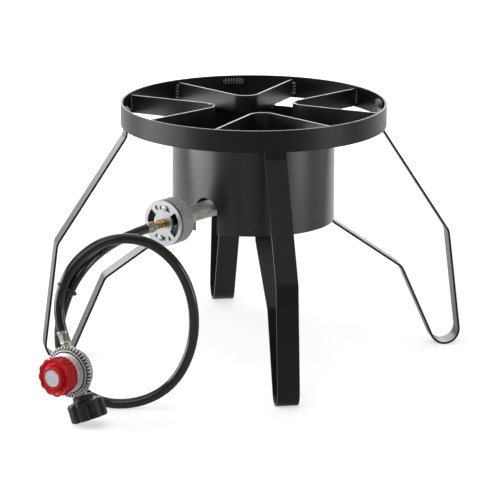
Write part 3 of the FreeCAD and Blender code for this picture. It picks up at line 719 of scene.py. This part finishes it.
def hexagon_nut(start, stop, bore, flats):
    """A chamfered hexagon about the pipe's axis. Its outline is bore, end face, thirty degree cone,
    flats, cone, end face, and its radius the flat's line (f/2) / cos t or, near the ends, the cone."""
    corner = flats / sqrt(3)
    face_r = flats / 2 * 0.93
    cone = face_r + linspace(0, 1, 5) * (corner - face_r)
    fall = (cone - face_r) * 0.577
    low = stack([cone, start + fall], -1)
    high = stack([cone, stop - fall], -1)[::-1]
    outline = concatenate([
        [[bore, start], [face_r - 0.4, start]], low, high,
        [[face_r - 0.4, stop], [bore, stop], [bore, start]]])

    def sided(r, a, t):
        flat = flats / 2 / cos((t + pi / 6) % (pi / 3) - pi / 6)
        return where(r > flats / 2 * 0.9, minimum(r, flat), r)
    return lathe(outline, pipe_axis, brass_steps, sided)


coated("gas_orifice", brass)
lock_nut = piece("orifice_nut", joined([hexagon_nut(207.6, 212.6, 4, 11)]), brass, sharp=25)
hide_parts("orifice_lock_nut")
thread_outline = (
    (fitting_bore, 212.7), (4.5, 212.7), (4.5, 213.1), (3.9, 213.5), (4.5, 213.9), (3.9, 214.3),
    (4.5, 214.7), (4.5, 215.4), (fitting_bore, 215.4), (fitting_bore, 212.7))
neck_outline = smooth_profile(
    ((fitting_bore, 220.4), (4.2, 220.4), (4.2, 221.6), (5.3, 222), (5.3, 224.2), (4.1, 224.8),
    (4.1, 225.8), (5, 226.4), (5, 229), (fitting_bore, 229)), (0, 0.2, 0.2, 0.2, 0.2, 0.2, 0.2, 0.2))
fitting_grids = [
    lathe(thread_outline, pipe_axis, brass_steps), hexagon_nut(214.9, 220.8, fitting_bore, 11.5),
    closed_lathe(neck_outline, pipe_axis, brass_steps)]
fitting = piece("hose_fitting", joined(fitting_grids), brass, sharp=25)
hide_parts("burner_fitting")

# Ferrules: thin nickel-plated sleeves crimped over the hose's ends by jaws that leave eight long
# facets round the middle and a plain band at each end.
nickel = coat(
    "nickel_plate", (0.36, 0.33, 0.28), (0.5, 0.46, 0.4), 6, (0.18, 0.28), 1, 0.002, metallic=1)
sleeve_radius = 7.4
sleeve_length = 17.0
sleeve_inside = 6.7
sleeve_floor = 0.8
sleeve_hole = 3.2
facet_depth = 0.62


def crimped_sleeve(axis, start):
    """A sleeve with eight facets, r = (R - d) / cos t between their edges, faded in over the crimped
    length, with rounded ends, a floor with a hole for the fitting, and a mouth open round the hose."""
    a = linspace(0, sleeve_length, 61)
    end = minimum(minimum(a, sleeve_length - a) / 0.8, 1)
    r = sleeve_radius - 0.8 * (1 - sqrt(maximum(1 - (1 - end) ** 2, 0)))
    inside = [[6.78, start + sleeve_length], [sleeve_inside, start + 13],
              [sleeve_inside, start + sleeve_floor], [sleeve_hole, start + sleeve_floor]]
    profile = concatenate([[[sleeve_hole, start]], stack([r, start + a], -1), inside])

    def facets(radius, place, t):
        flat = (sleeve_radius - facet_depth) / cos((t + pi / 8) % (pi / 4) - pi / 8)
        fade = (clip((place - start - 1.8) / 0.8, 0, 1)
                * clip((start + sleeve_length - 3.4 - place) / 0.8, 0, 1))
        return where(radius > 6.9, radius + fade * minimum(flat - radius, 0), radius)
    return closed_lathe(profile, axis, 160, facets)


burner_ferrule = piece(
    "burner_end_ferrule", joined([crimped_sleeve(pipe_axis, 229.1)]), nickel)
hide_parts("burner_ferrule")

# Gas hose: three feet of smooth black rubber hose in one loose loop that stands on the floor and is
# caught by a tie where its two ends pass each other, crimped at both ends.
hose_diameter = 13.5
hose_route = (
    (-163.4, -163.4, 223), (-199.1, -199.1, 223), (-241, -246, 216), (-272, -274, 197),
    (-293, -279, 162), (-303, -266, 112), (-292, -253, 45), (-247, -251, 6.8), (-191, -258, 6.8),
    (-146, -264, 35), (-122, -267, 90), (-123, -267, 150), (-146, -267, 201), (-186, -267, 233),
    (-237, -270, 237), (-279, -279, 213), (-300, -287, 177), (-305.4, -288.8, 139.7),
    (-295.9, -297.6, 107))
hose_rubber = coat(
    "hose_rubber", (0.006, 0.006, 0.0064), (0.01, 0.01, 0.0104), 25, (0.13, 0.18), 0.8, 0.004,
    specular=0.45)
hose_curve = bpy.data.curves.new("gas_hose_line", "CURVE")
hose_curve.dimensions = "3D"
hose_spline = hose_curve.splines.new("NURBS")
hose_spline.points.add(len(hose_route) - 1)
hose_spline.points.foreach_set(
    "co", concatenate([array(hose_route) * mm, np.ones((len(hose_route), 1))], 1).ravel())
hose_spline.order_u = 3
hose_spline.use_endpoint_u = True
hose_spline.use_smooth = True
hose_curve.resolution_u = 16
hose = shown("rubber_hose", hose_curve)
bpy.context.view_layer.update()
bare_line = bpy.data.meshes.new_from_object(hose)
hose_points = mesh_points(bare_line)
bpy.data.meshes.remove(bare_line)
hose_curve.bevel_depth = hose_diameter / 2 * mm
hose_curve.bevel_resolution = 10
hose_curve.use_fill_caps = True
hose_curve.materials.append(hose_rubber)
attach(hose, "stove")
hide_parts("gas_hose")

# Hose tie: a black nylon strap pulled round both strands of the hose, with its square head and a
# short cut tail.
tie_nylon = coat(
    "tie_nylon", (0.01, 0.01, 0.01), (0.016, 0.016, 0.016), 5, (0.36, 0.46), 0.5, 0.008, specular=0.3)
tie_width = 3.6
tie_thickness = 1.2
tie_place = array([-287.1, -277.6, 171.8])
tie_drop = 3.5
tail_length = 9.5
strap_steps = 33
half_way = len(hose_points) // 2
near = int(np.argmin(norm(hose_points[:half_way] - tie_place, axis=1)))
far = half_way + int(np.argmin(norm(hose_points[half_way:] - hose_points[near], axis=1)))
near = near + int(round(tie_drop / norm(hose_points[near + 1] - hose_points[near])))
tie_gap = hose_points[far] - hose_points[near]
tie_way = unit(tie_gap)
strand = hose_points[near + 1] - hose_points[near - 1]
strand = unit(strand - tie_way * (strand @ tie_way))
tie_side = cross(strand, tie_way)
strap_section = bar_outline(tie_width, tie_thickness, 0.25)
strap_across = strap_section[None, :, 0, None] * strand
strap_through = strap_section[None, :, 1, None]
strap_radius = hose_diameter / 2 + 0.1 + tie_thickness / 2
swing = linspace(pi / 2, 3 * pi / 2, strap_steps)
swing = concatenate([swing, swing + pi])
shift = np.repeat([0, norm(tie_gap)], strap_steps)
strap_out = cos(swing)[:, None] * tie_way + sin(swing)[:, None] * tie_side
strap_line = hose_points[near] + shift[:, None] * tie_way + strap_radius * strap_out
strap = strap_line[:, None] + strap_through * strap_out[:, None] + strap_across
strap = concatenate([strap, strap[:1]])
head_axis = (array([tie_way, strand, tie_side]), hose_points[near] - tie_way * (strap_radius + 1.2))
head_shape = smooth_profile(((0, -2.6), (2.75, -2.6), (2.75, 2.6), (0, 2.6)), (0.6, 0.6))


def squared(r, a, t):
    """A round outline pushed out to a rounded square: r / (|cos|^6 + |sin|^6)^(1/6)."""
    return r / (abs(cos(t)) ** 6 + abs(sin(t)) ** 6) ** (1 / 6)


tail_run = linspace(0, 1, 9)[:, None]
tail_way = tie_way * (strap_radius + tail_run * tail_length)
tail_line = hose_points[near] - tail_way + tie_side * (0.6 + 1.6 * tail_run ** 2)
tail = tail_line[:, None] + strap_through * tie_side + strap_across
strap_points, strap_faces = joined([strap, lathe(head_shape, head_axis, 64, squared)])
tail_points, tail_faces = joined([tail], caps=True)
tail_faces = [[k + len(strap_points) for k in corner] for corner in tail_faces]
tie = piece(
    "hose_strap", (concatenate([strap_points, tail_points]), strap_faces + tail_faces),
    tie_nylon)
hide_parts("hose_tie")

# Regulator body: the grey zinc die casting behind the crimped rim, with an inlet and an outlet boss
# in line across it. Inside lie the valve seat, its lever and the rubber diaphragm with its plate.
knob_way = array([-0.67752, -0.73551, 0])
outlet_way = array([-0.26956, 0.24831, 0.93042])
aside_way = cross(knob_way, outlet_way)
rim_middle = array([-293.094, -315.079, 71.596])
port_middle = array([-285.642, -306.989, 71.596])
knob_axis = (array([outlet_way, aside_way, knob_way]), rim_middle)
port_axis = (array([aside_way, knob_way, outlet_way]), port_middle)
inlet_axis = (array([-aside_way, knob_way, -outlet_way]), port_middle)
zinc_casting = coat(
    "zinc_die_casting", (0.32, 0.32, 0.31), (0.42, 0.42, 0.41), 9, (0.34, 0.46), 0.9, 0.03, metallic=1)
body_outline = smooth_profile(
    ((0, -26), (15, -26), (30, -11), (30, -3), (20, -3), (20, -12), (11, -21), (0, -21)),
    (3, 4, 0, 0, 0, 0))
boss_outline = smooth_profile(
    ((0, 18), (9.6, 18), (6.8, 28), (6.8, 34), (4, 34), (4, 31), (0, 31)), (0, 5, 0.5, 0.2, 0))
body_grids = [
    lathe(body_outline, knob_axis), lathe(boss_outline, port_axis), lathe(boss_outline, inlet_axis)]
regulator_body = piece("regulator_casting", joined(body_grids), zinc_casting)
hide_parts("regulator_body")
for name, finish in (
        ("diaphragm", hose_rubber), ("diaphragm_plate", zinc_plate), ("valve_seat_piece", brass),
        ("valve_lever", zinc_plate), ("spring_button", zinc_plate), ("adjusting_screw", brass)):
    coated(name, finish)

# Pressure spring: three turns of round steel wire, zinc plated, between the diaphragm's plate and the
# button on the adjusting screw. It shortens as the knob is turned in.
coil_radius = 6.4
coil_wire = 1.6
coil_turns = 3
coil_low = 2.5
coil_high = 11.0


def coil_grid():
    """A helix c(t) = (R cos t, R sin t, z0 + p t) with a round section across its tangent: place =
    c(t) + w/2 (cos u n + sin u b), where n points to the axis and b is square to n and the tangent."""
    t = linspace(0, 2 * pi * coil_turns, 48 * coil_turns + 1)
    u = linspace(0, 2 * pi, 16, endpoint=False)
    pitch = (coil_high - coil_low - coil_wire) / (2 * pi * coil_turns)
    middle = stack(
        [coil_radius * cos(t), coil_radius * sin(t), coil_low + coil_wire / 2 + pitch * t], -1)
    inward = stack([-cos(t), -sin(t), 0 * t], -1)
    ahead = stack([-coil_radius * sin(t), coil_radius * cos(t), pitch + 0 * t], -1)
    ahead = ahead / norm(ahead, axis=1)[:, None]
    aside = cross(ahead, inward)
    section = cos(u)[None, :, None] * inward[:, None] + sin(u)[None, :, None] * aside[:, None]
    return placed(middle[:, None] + coil_wire / 2 * section, knob_axis)


spring = piece("pressure_coil", joined([coil_grid()], caps=True), zinc_plate)
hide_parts("pressure_spring")
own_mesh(spring)

# Crimped rim and bonnet: the bright zinc cover over the spring, and the steel rim rolled over both
# halves, its edge notched all round by the crimping tool.
rim_radius = 34.2
rim_inside = 30.4
rim_half = 4.0
rim_teeth = 44
rim_steps = 528
tooth_sink = 2.4
tooth_draw = 0.7
groove_reach = 27.35
bonnet_zinc = coat(
    "bonnet_zinc", (0.46, 0.465, 0.46), (0.58, 0.585, 0.58), 7, (0.5, 0.6), 0.9, 0.014, metallic=0.75)
rim_steel = coat(
    "rim_steel", (0.42, 0.42, 0.415), (0.54, 0.54, 0.535), 7, (0.34, 0.44), 0.9, 0.008, metallic=0.85)
shade_painted_in_gaps(bonnet_zinc)
shade_painted_in_gaps(rim_steel)


def crimped(grid):
    """The rim's front lip pressed in between its tabs: each point sinks along the knob's axis by
    d tooth(t) lip(r), where the tooth is a narrow pulse and lip(r) covers the front face only, and
    the rim's edge is drawn in a little by the same teeth."""
    ways, middle = knob_axis
    local = (grid - middle) @ ways.T
    reach = np.hypot(local[..., 0], local[..., 1])
    t = linspace(0, 2 * pi, rim_steps, endpoint=False)
    tooth = clip((cos(rim_teeth * t) + 0.1) / 0.5, 0, 1)
    lip = clip((reach - 30.2) / 0.5, 0, 1) * clip((local[..., 2] - 1) / 2, 0, 1)
    edge = clip(reach - 33, 0, 1)
    out = local[..., 0:1] * ways[0] + local[..., 1:2] * ways[1]
    out = out / maximum(reach, 1e-9)[..., None]
    sink = (tooth_sink * tooth * lip)[..., None] * knob_way
    draw = (tooth_draw * tooth * edge)[..., None] * out
    return grid - sink - draw


rim_outline = smooth_profile(
    ((rim_inside, -rim_half), (rim_radius, -rim_half), (rim_radius, rim_half), (rim_inside, rim_half),
    (rim_inside, 1.6)), (1.2, 1.2, 0.4))
rim = piece(
    "crimped_rim", joined([crimped(closed_lathe(rim_outline, knob_axis, rim_steps))]),
    rim_steel)
reach, angle, height = polar_points(rim, knob_axis)
# Painted shade: near black in the notches between the crimp tabs and along the rim's inner edge against
# the bonnet.
painted_notch_shade = clip((cos(rim_teeth * angle) - 0.05) / 0.3, 0, 1)
painted_notch_shade = painted_notch_shade * clip((reach - 30.6) / 0.4, 0, 1) * clip((33.9 - reach) / 0.5, 0, 1)
set_painted_shade(rim, maximum(painted_notch_shade, clip((30.9 - reach) / 0.3, 0, 1)) * (height > 0))
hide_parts("regulator_rim")
bonnet_outline = smooth_profile(
    ((31, 1.6), (29.6, 1.6), (29.4, 5), (28.2, 5.4), (27.9, 3.4), (26.8, 3.4), (26.5, 6.4), (22, 8),
    (20.8, 11), (16, 12.5), (9.5, 16.2), (9.5, 24), (5.2, 24), (5.2, 20), (8.6, 15.2), (15.3, 11.2),
    (19.4, 9.8), (20.8, 7), (25, 5.4), (25.4, 1.2), (31, 1.2)),
    (0.2, 0.4, 0.4, 0.2, 0.2, 0.5, 0.8, 1.2, 4, 1.5, 0.5, 0.2) + (0,) * 7)
bonnet = piece(
    "spring_bonnet", joined([closed_lathe(bonnet_outline, knob_axis, 128)]),
    bonnet_zinc)
reach, angle, height = polar_points(bonnet, knob_axis)
# Painted shade: near black in the groove on the bonnet's face.
set_painted_shade(bonnet, clip((1 - abs(reach - groove_reach)) / 0.25, 0, 1) * (height < 5.2))
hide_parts("regulator_bonnet")

# Regulator knob: moulded red plastic with a dished, lobed grip flange, a smooth raised boss in its
# middle and a deep skirt behind it with fine ribs. It is pressed onto the adjusting screw.
grip_radius = 26.2
knob_lobes = 12
lobe_depth = 1.7
rib_depth = 1.1
boss_foot = 17.6
flange_back = 27.2
skirt_inside = 21.5
red_plastic = coat(
    "red_plastic", (0.45, 0.006, 0.011), (0.54, 0.008, 0.014), 12, (0.24, 0.32), 0.6, 0.004,
    specular=0.2)


def knob_radius(r, a, t):
    """Rows at the flange carry the lobes, a smooth hollow between each two, that fade out towards the
    boss; the skirt behind the flange carries narrow ribs, two to each lobe."""
    hollow = lobe_depth * (0.5 + 0.5 * cos(knob_lobes * t)) ** 1.4
    lobes = r - clip((r - boss_foot) / (grip_radius - boss_foot), 0, 1) * hollow
    ribs = r - rib_depth * (0.5 - 0.5 * cos(2 * knob_lobes * t))
    return where(a > flange_back, lobes, where(r > skirt_inside, ribs, r))


knob_outline = smooth_profile(
    ((11, 29), (11, 20.8), (18.5, 20.8), (18.5, 17), (22.5, 16.6), (22.6, 13.4), (24.3, 13.4), (25, 27),
    (grip_radius, 27.4), (grip_radius, 32.4), (25, 33.6), (23, 33.5), (19.4, 31), (boss_foot, 31.4),
    (15, 37.4), (14.2, 38.2), (11.3, 38.2), (11.2, 37)),
    (0.3, 0.4, 0.3, 0.4, 0.3, 0.7, 0.3, 0.4, 0.7, 0.6, 1, 1, 0.8, 0.5, 0.3, 0.1))
knob = piece(
    "regulator_grip", joined([closed_lathe(knob_outline, knob_axis, 320, knob_radius)]),
    red_plastic, "knob")
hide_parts("regulator_knob")

# Knob disc: a thin bare disc, painted silver, let into the front of the knob's boss and glued
# there. It turns and travels with the knob.
silver_disc = coat(
    "silver_disc", (0.39, 0.41, 0.42), (0.47, 0.49, 0.5), 8, (0.4, 0.5), 0.4, 0.01, metallic=0.3)
disc_outline = smooth_profile(
    ((0, 37.2), (11, 37.2), (11, 38.4), (10.3, 38.5), (9.8, 38.2), (0, 38.2)), (0.2, 0.2, 0.2, 0.2))
disc = piece("grip_disc", joined([lathe(disc_outline, knob_axis)]), silver_disc, "knob")
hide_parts("knob_disc")

# Inlet: a brass nipple with a rubber seal screwed into the inlet boss, and the black plastic nut
# that turns on it and is screwed onto the gas cylinder by hand.
nut_plastic = coat(
    "nut_plastic", (0.009, 0.009, 0.0095), (0.015, 0.015, 0.0155), 10, (0.38, 0.48), 0.7, 0.02,
    specular=0.3)
nut_flutes = 8
flute_depth = 3.4
nut_radius = 24.5
for name, finish in (
        ("inlet_nipple", brass), ("inlet_seal", hose_rubber), ("outlet_fitting", zinc_plate)):
    coated(name, finish)


def fluted(r, a, t):
    """The hand nut's outside: its radius less a rounded flute between each two broad ribs."""
    flute = abs(cos(nut_flutes * t / 2)) ** 10
    return r - flute_depth * flute * clip((r - 19) / 4, 0, 1)


nut_outline = smooth_profile(
    ((6.9, -46.8), (6.9, -34.8), (13.8, -34.8), (14.4, -40.6), (22.6, -42.8), (nut_radius, -45.4),
    (nut_radius, -65.6), (23, -67.3), (17.4, -67.3), (16.6, -66.2), (16.6, -46.8), (6.9, -46.8)),
    (0.3, 0.8, 3, 1.6, 1.4, 1, 1, 0.5, 0.4, 0.5))
nut = piece(
    "cylinder_hand_nut", joined([lathe(nut_outline, port_axis, 288, fluted)]),
    nut_plastic, "swivel_nut")
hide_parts("cylinder_nut")
regulator_ferrule = piece(
    "regulator_end_ferrule", joined([crimped_sleeve(port_axis, 36)]), nickel)
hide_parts("regulator_ferrule")

# Floor: a wide pale floor under the stove. The camera sees it glow, less so near the stove, so that
# it is white and keeps a soft shadow; in a reflection it glows less in front of the stove than behind
# it, and for other light it is plain matt.
floor_reach = 40.0
floor_white = bpy.data.materials.new("pale_floor")
floor_white.use_nodes = True
floor_tree = floor_white.node_tree
floor_shader = levelled(
    floor_tree.nodes["Principled BSDF"], Base_Color=(0.6, 0.6, 0.6, 1), Roughness=1,
    Specular_IOR_Level=0, Emission_Color=(1, 1, 1, 1))


def worked(operation, first, second):
    """A Math node of the given operation on two outputs."""
    tree = first.id_data
    step = new_node(tree, "Math")
    step.operation = operation
    tree.links.new(first, step.inputs[0])
    tree.links.new(second, step.inputs[1])
    return step.outputs[0]


def ranged(value, start, stop, low, high):
    """A Map Range node: low up to start, high from stop on, and an even rise between them."""
    tree = value.id_data
    step = new_node(tree, "MapRange", From_Min=start, From_Max=stop, To_Min=low, To_Max=high)
    tree.links.new(value, step.inputs["Value"])
    return step.outputs["Result"]


def vector_value(operation, vector, other=(0, 0, 0)):
    """The number that a Vector Math node of the given operation gives."""
    tree = vector.id_data
    step = new_node(tree, "VectorMath")
    step.operation = operation
    step.inputs[1].default_value = other
    tree.links.new(vector, step.inputs[0])
    return step.outputs["Value"]


back_way = (0.165, 0.986, 0)
floor_place = new_node(floor_tree, "TexCoord").outputs["Object"]
floor_rays = new_node(floor_tree, "LightPath").outputs
floor_depth = vector_value("DOT_PRODUCT", floor_place, back_way)
plain_glow = ranged(vector_value("LENGTH", floor_place), 0.6, 1.6, 0.6, 1)
glossy_glow = ranged(floor_depth, -0.1, 0.8, 0.2, 1)
seen = worked("MAXIMUM", floor_rays["Is Camera Ray"], floor_rays["Is Transmission Ray"])
glow = worked("MAXIMUM", worked("MULTIPLY", seen, plain_glow),
    worked("MULTIPLY", floor_rays["Is Glossy Ray"], glossy_glow))
floor_tree.links.new(glow, floor_shader.inputs["Emission Strength"])
floor_mesh = bpy.data.meshes.new("floor")
floor_corners = [(x * floor_reach, y * floor_reach, 0) for x, y in ((-1, -1), (1, -1), (1, 1), (-1, 1))]
floor_mesh.from_pydata(floor_corners, [], [(0, 1, 2, 3)])
floor_mesh.materials.append(floor_white)
floor = shown("floor", floor_mesh)

# Studio light: a pale room that mirrors brighter behind the stove than in front of it, a wide soft
# box behind, one low at each side, a weak one overhead and one high in front.
room = bpy.data.worlds.new("pale_room")
scene.world = room
room.use_nodes = True
room_tree = room.node_tree
room_way = new_node(room_tree, "TexCoord").outputs["Generated"]
room_rays = new_node(room_tree, "LightPath").outputs
room_glow = ranged(vector_value("DOT_PRODUCT", room_way, back_way), -0.1, 0.9, 0.3, 0.6)
room_fill = new_node(room_tree, "Math")
room_fill.inputs[1].default_value = 0.03
room_mirrored = worked("MULTIPLY", room_rays["Is Glossy Ray"], room_glow)
room_tree.links.new(room_mirrored, room_fill.inputs[0])
room_white = levelled(room_tree.nodes["Background"], Color=(1, 1, 1, 1))
room_tree.links.new(room_fill.outputs[0], room_white.inputs["Strength"])


def aimed(item, place, side, ahead):
    """Puts a lamp or camera at a place, its own X along side and its view along ahead."""
    turn = np.eye(4)
    turn[:3] = stack([side, cross(side, ahead), -ahead, place], -1)
    item.matrix_world = Matrix(turn.tolist())


def soft_box(name, place, aim, width, height, power):
    """A rectangular lamp at a place, turned so that it faces the aim point."""
    lamp = bpy.data.lights.new(name, "AREA")
    lamp.shape = "RECTANGLE"
    lamp.size = width
    lamp.size_y = height
    lamp.energy = power
    way = unit(array(aim) - array(place))
    side = unit(cross(way, (0, 0, 1))) if abs(way[2]) < 0.99 else array([1, 0, 0])
    aimed(shown(name, lamp), place, side, way)


soft_box("left_box", (-0.99, -0.04, 0.28), (0, -0.1, 0.2), 0.86, 0.56, 8.4)
soft_box("right_box", (1.11, -0.764, 0.28), (0, 0, 0.2), 0.56, 0.56, 4.6)
soft_box("overhead_box", (0.2, 0.3, 2.6), (0, 0, 0), 2, 2, 16)
soft_box("front_box", (-0.8, -1.36, 1.75), (-0.1, -0.1, 0.2), 2.2, 1.2, 17)
soft_box("back_box", (0.36, 2.3, 0.95), (0, 0, 0.33), 3.6, 1.3, 55)

# Camera: a long lens at the photograph's height and heading, level to a third of a degree.
camera_place = array([-0.7987, -4.775, 1.3972])
heading = radians(-9.447)
pitch = 0.2535
roll = 0.0054
flat_right = array([cos(heading), sin(heading), 0])
flat_ahead = array([-sin(heading), cos(heading), 0])
ahead = flat_ahead * cos(pitch) - array([0, 0, 1]) * sin(pitch)
camera_right = flat_right * cos(roll) + cross(flat_right, ahead) * sin(roll)
lens = bpy.data.cameras.new("camera")
lens.sensor_width = 36.0
lens.lens = 259.38
lens.clip_end = 200.0
scene.camera = shown("camera", lens)
aimed(scene.camera, camera_place, camera_right, ahead)
scene.view_settings.view_transform = "Standard"
